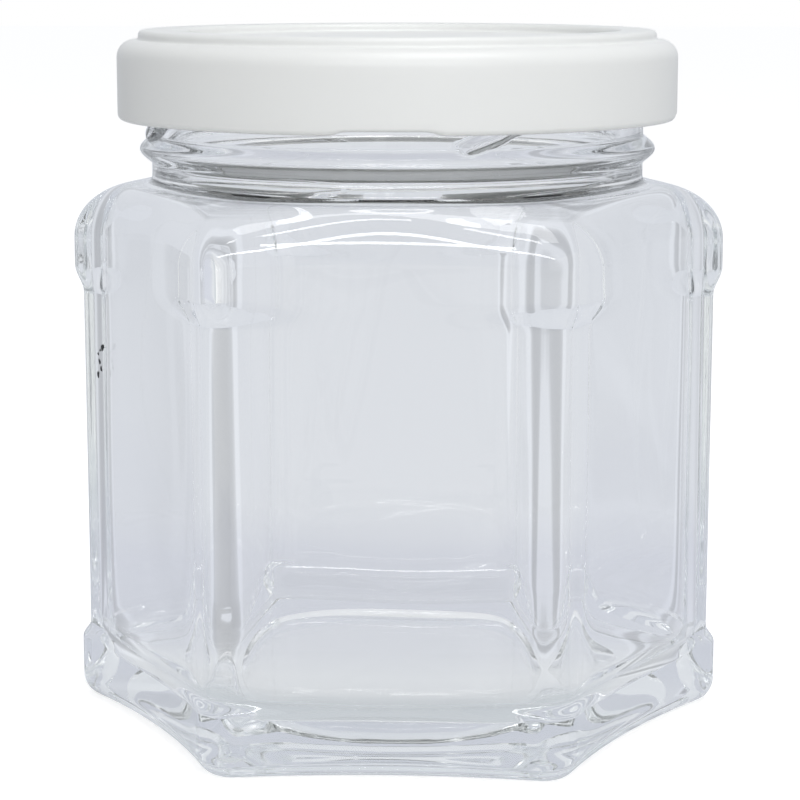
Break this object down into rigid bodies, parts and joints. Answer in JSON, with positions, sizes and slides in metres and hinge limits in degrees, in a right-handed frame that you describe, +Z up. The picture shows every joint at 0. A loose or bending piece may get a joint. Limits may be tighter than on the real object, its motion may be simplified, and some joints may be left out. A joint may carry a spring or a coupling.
{
  "type": "hexagonal glass jar",
  "caption": "Hexagonal clear glass storage jar with hollow sides, rolled heel and shoulder, screw finish and white twist-off metal cap.",
  "frame": {"origin": "middle of the foot, on the surface that the jar stands on", "axes": "+Z up through the cap, one flat side faces -Y, two opposite corners lie on the X axis"},
  "size_m": [0.0772, 0.068, 0.0811],
  "materials": {
    "clear_glass": "clear soda-lime container glass, fire polished",
    "white_lacquer": "white gloss lacquer on pressed tinplate",
    "seal_compound": "matt off-white plastisol"
  },
  "bodies": {
    "root": {"glass_jar": "clear_glass", "cap_shell": "white_lacquer", "seal_ring": "seal_compound"}
  },
  "joints": []
}
